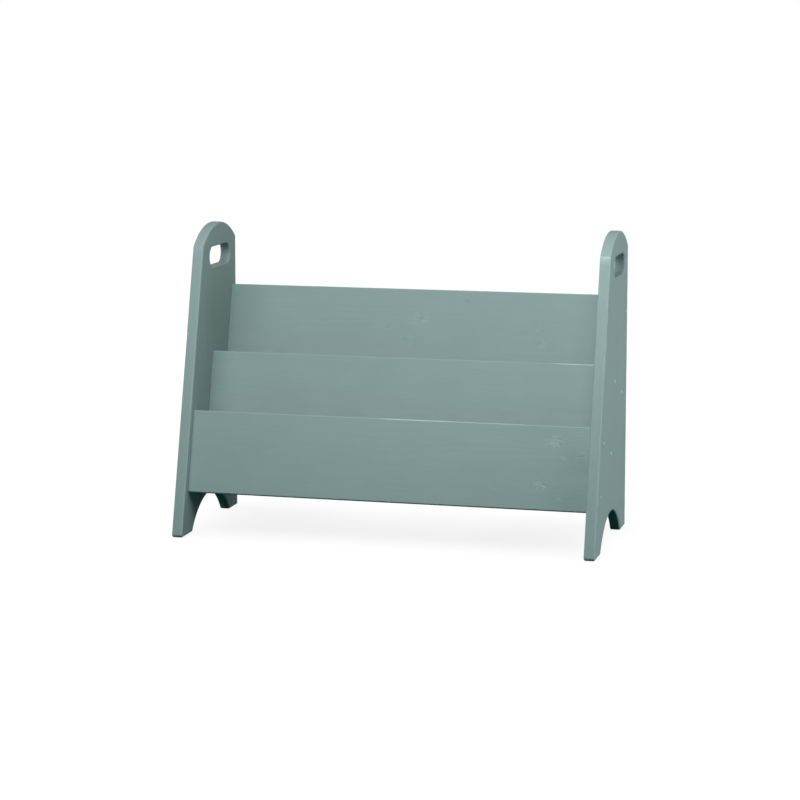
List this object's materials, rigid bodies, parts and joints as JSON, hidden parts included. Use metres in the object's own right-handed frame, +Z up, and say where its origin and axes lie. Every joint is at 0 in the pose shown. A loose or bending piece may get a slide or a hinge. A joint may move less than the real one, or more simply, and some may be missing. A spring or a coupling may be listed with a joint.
{
  "type": "book rack",
  "caption": "Low free-standing book rack: shaped sides with hand holes and arched feet carry leaning panels that form open front-facing book pockets.",
  "frame": {"origin": "on the floor, under the middle of the rack's outer box", "axes": "+X to the rack's right end, seen from the front, +Y to its back, +Z up"},
  "size_m": [0.704, 0.29, 0.501],
  "materials": {
    "painted_pine": "satin sage-green paint on pine",
    "painted_plug": "satin sage-green paint on a turned plug",
    "zinc_plated_steel": "bright zinc plating",
    "plain_beech": "plain sanded beech"
  },
  "bodies": {
    "root": {"front_panel": "painted_pine", "front_pocket_floor": "painted_pine", "left_front_floor_dowel_1": "plain_beech", "left_front_floor_dowel_2": "plain_beech", "left_front_plug_1": "painted_plug", "left_front_plug_2": "painted_plug", "left_front_screw_1": "zinc_plated_steel", "left_front_screw_2": "zinc_plated_steel", "left_middle_plug_1": "painted_plug", "left_middle_plug_2": "painted_plug", "left_middle_screw_1": "zinc_plated_steel", "left_middle_screw_2": "zinc_plated_steel", "left_rear_floor_dowel_1": "plain_beech", "left_rear_floor_dowel_2": "plain_beech", "left_rear_plug_1": "painted_plug", "left_rear_plug_2": "painted_plug", "left_rear_screw_1": "zinc_plated_steel", "left_rear_screw_2": "zinc_plated_steel", "left_side": "painted_pine", "middle_panel": "painted_pine", "rear_panel": "painted_pine", "rear_pocket_floor": "painted_pine", "right_front_floor_dowel_1": "plain_beech", "right_front_floor_dowel_2": "plain_beech", "right_front_plug_1": "painted_plug", "right_front_plug_2": "painted_plug", "right_front_screw_1": "zinc_plated_steel", "right_front_screw_2": "zinc_plated_steel", "right_middle_plug_1": "painted_plug", "right_middle_plug_2": "painted_plug", "right_middle_screw_1": "zinc_plated_steel", "right_middle_screw_2": "zinc_plated_steel", "right_rear_floor_dowel_1": "plain_beech", "right_rear_floor_dowel_2": "plain_beech", "right_rear_plug_1": "painted_plug", "right_rear_plug_2": "painted_plug", "right_rear_screw_1": "zinc_plated_steel", "right_rear_screw_2": "zinc_plated_steel", "right_side": "painted_pine"}
  },
  "joints": []
}
